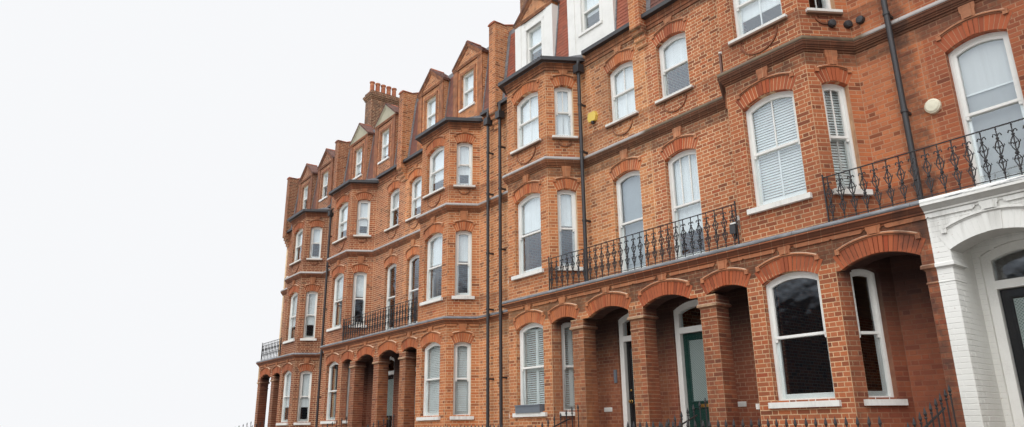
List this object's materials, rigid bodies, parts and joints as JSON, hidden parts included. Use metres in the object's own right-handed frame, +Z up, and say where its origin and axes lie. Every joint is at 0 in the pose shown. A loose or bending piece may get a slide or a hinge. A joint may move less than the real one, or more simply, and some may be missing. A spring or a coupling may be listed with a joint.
{
  "type": "terraced house row",
  "caption": "Row of tall brick terraced houses with canted bays, arcaded porches under an iron railed balcony, hinged front doors, dormered mansards and chimneys.",
  "frame": {"origin": "middle of the underside of the whole row, on the ground", "axes": "+X along the row to the right as seen from the street, +Y from the street to the back, +Z up"},
  "size_m": [35.07, 12.95, 16.86],
  "materials": {
    "wall_brick": "matt orange-red stock brick in buff mortar",
    "rubbed_brick": "matt rubbed and moulded orange-red brick",
    "lead": "dull grey weathered sheet lead",
    "floor_boards": "bare boards",
    "porch_tiles": "matt floor tiles",
    "painted_sill": "white painted stone",
    "white_timber": "white gloss paint",
    "window_glass": "clear window glass",
    "black_iron": "black painted cast iron",
    "black_pipe": "black painted cast iron",
    "step_stone": "pale weathered stone",
    "roof_tile": "matt red clay tile",
    "coping_brick": "matt red coping brick",
    "pot_clay": "matt buff-red clay",
    "door_green": "dark green gloss paint",
    "door_black": "black gloss paint"
  },
  "bodies": {
    "house_row": {"party_walls": "wall_brick", "plinth_walls": "wall_brick", "door_side_walls": "wall_brick", "upper_front_walls": "wall_brick", "bay_front_walls": "wall_brick", "bay_side_walls": "wall_brick", "bay_flank_walls": "wall_brick", "rear_walls": "wall_brick", "floors": "floor_boards", "porch_floors": "porch_tiles", "porch_plinths": "wall_brick", "porch_columns": "wall_brick", "porch_arches": "wall_brick", "balcony_decks": "lead", "ground_cornice": "rubbed_brick", "brick_strings": "rubbed_brick", "lead_flashings": "lead", "brick_arches": "rubbed_brick", "hood_moulds": "rubbed_brick", "window_sills": "painted_sill", "swags": "rubbed_brick", "front_windows": "white_timber", "attic_windows": "white_timber", "rear_windows": "white_timber", "window_glass": "window_glass", "door_frames": "white_timber", "fanlight_frames": "white_timber", "balcony_rails": "black_iron", "entrance_steps": "step_stone", "step_walls": "step_stone", "step_rails": "black_iron", "front_dwarf_walls": "step_stone", "front_railings": "black_iron", "mansards": "roof_tile", "dormers": "wall_brick", "dormer_roofs": "roof_tile", "bay_roofs": "lead", "flat_roofs": "lead", "party_copings": "coping_brick", "chimney_stacks": "wall_brick", "chimney_pots": "pot_clay", "gutters": "black_pipe", "downpipes": "black_pipe"},
    "door_1": {"door_1": "door_green"},
    "door_2": {"door_2": "door_black"},
    "door_3": {"door_3": "door_black"},
    "door_4": {"door_4": "door_black"},
    "door_5": {"door_5": "door_green"},
    "door_6": {"door_6": "door_black"}
  },
  "joints": [
    {"name": "door_1_hinge", "type": "hinge", "parent": "house_row", "child": "door_1", "pos_m": [-16.968, -3.2167, 2.17], "axis": [0, 0, 1], "range_deg": [0, 90]},
    {"name": "door_2_hinge", "type": "hinge", "parent": "house_row", "child": "door_2", "pos_m": [-6.152, -3.2167, 2.17], "axis": [0, 0, -1], "range_deg": [0, 90]},
    {"name": "door_3_hinge", "type": "hinge", "parent": "house_row", "child": "door_3", "pos_m": [-5.408, -3.2167, 2.17], "axis": [0, 0, 1], "range_deg": [0, 90]},
    {"name": "door_4_hinge", "type": "hinge", "parent": "house_row", "child": "door_4", "pos_m": [5.408, -3.2167, 2.17], "axis": [0, 0, -1], "range_deg": [0, 90]},
    {"name": "door_5_hinge", "type": "hinge", "parent": "house_row", "child": "door_5", "pos_m": [6.152, -3.2167, 2.17], "axis": [0, 0, 1], "range_deg": [0, 90]},
    {"name": "door_6_hinge", "type": "hinge", "parent": "house_row", "child": "door_6", "pos_m": [11.932, -3.2167, 2.17], "axis": [0, 0, 1], "range_deg": [0, 90]}
  ]
}
